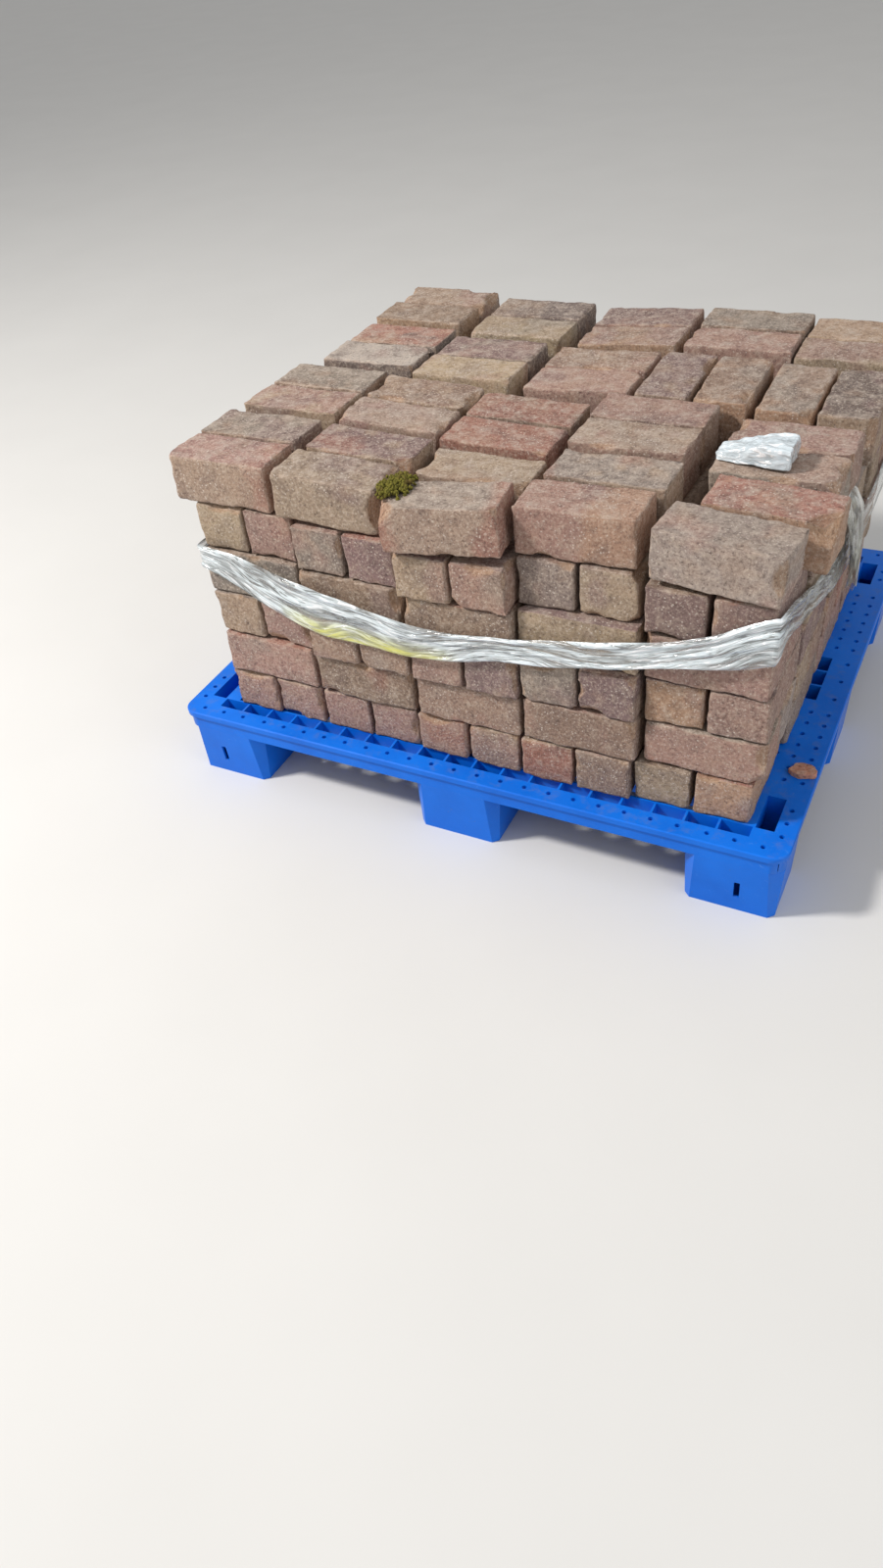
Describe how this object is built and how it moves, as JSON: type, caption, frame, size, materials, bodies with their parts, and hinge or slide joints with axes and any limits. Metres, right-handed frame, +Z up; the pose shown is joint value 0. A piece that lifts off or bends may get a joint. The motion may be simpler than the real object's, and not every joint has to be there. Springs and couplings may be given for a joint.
{
  "type": "pallet of reclaimed paving bricks",
  "caption": "Blue plastic pallet stacked with reclaimed clay paving bricks in crossed pairs, held together by a wound band of stretch film.",
  "frame": {"origin": "on the floor, under the middle of the pallet", "axes": "+X along the pallet's long side, to the right as seen from its front; +Y away from the front; +Z up"},
  "size_m": [1.2, 1, 0.6935],
  "materials": {
    "brick_red": "weathered fired clay, dusty red-brown, matte",
    "brick_tan": "weathered fired clay, sandy tan, matte",
    "pallet_plastic": "moulded blue plastic, slightly shiny, dusty",
    "stretch_film": "wound clear stretch film, milky where it lies in many layers"
  },
  "bodies": {
    "root": {"pallet": "pallet_plastic", "bricks_course_1_row_1": "brick_red", "bricks_course_1_row_2": "brick_red", "bricks_course_1_row_3": "brick_red", "bricks_course_1_row_4": "brick_red", "bricks_course_2_row_1": "brick_red", "bricks_course_2_row_2": "brick_red", "bricks_course_2_row_3": "brick_red", "bricks_course_2_row_4": "brick_red", "bricks_course_3_row_1": "brick_red", "bricks_course_3_row_2": "brick_red", "bricks_course_3_row_3": "brick_red", "bricks_course_3_row_4": "brick_red", "bricks_course_4_row_1": "brick_red", "bricks_course_4_row_2": "brick_red", "bricks_course_4_row_3": "brick_red", "bricks_course_4_row_4": "brick_red", "bricks_course_5_row_1": "brick_red", "bricks_course_5_row_2": "brick_red", "bricks_course_5_row_3": "brick_red", "bricks_course_5_row_4": "brick_red", "bricks_course_6_row_1": "brick_red", "bricks_course_6_row_2": "brick_red", "bricks_course_6_row_3": "brick_red", "bricks_course_6_row_4": "brick_red", "film_band": "stretch_film", "film_flap": "stretch_film", "film_bunch": "stretch_film", "brick_chip": "brick_tan"}
  },
  "joints": []
}
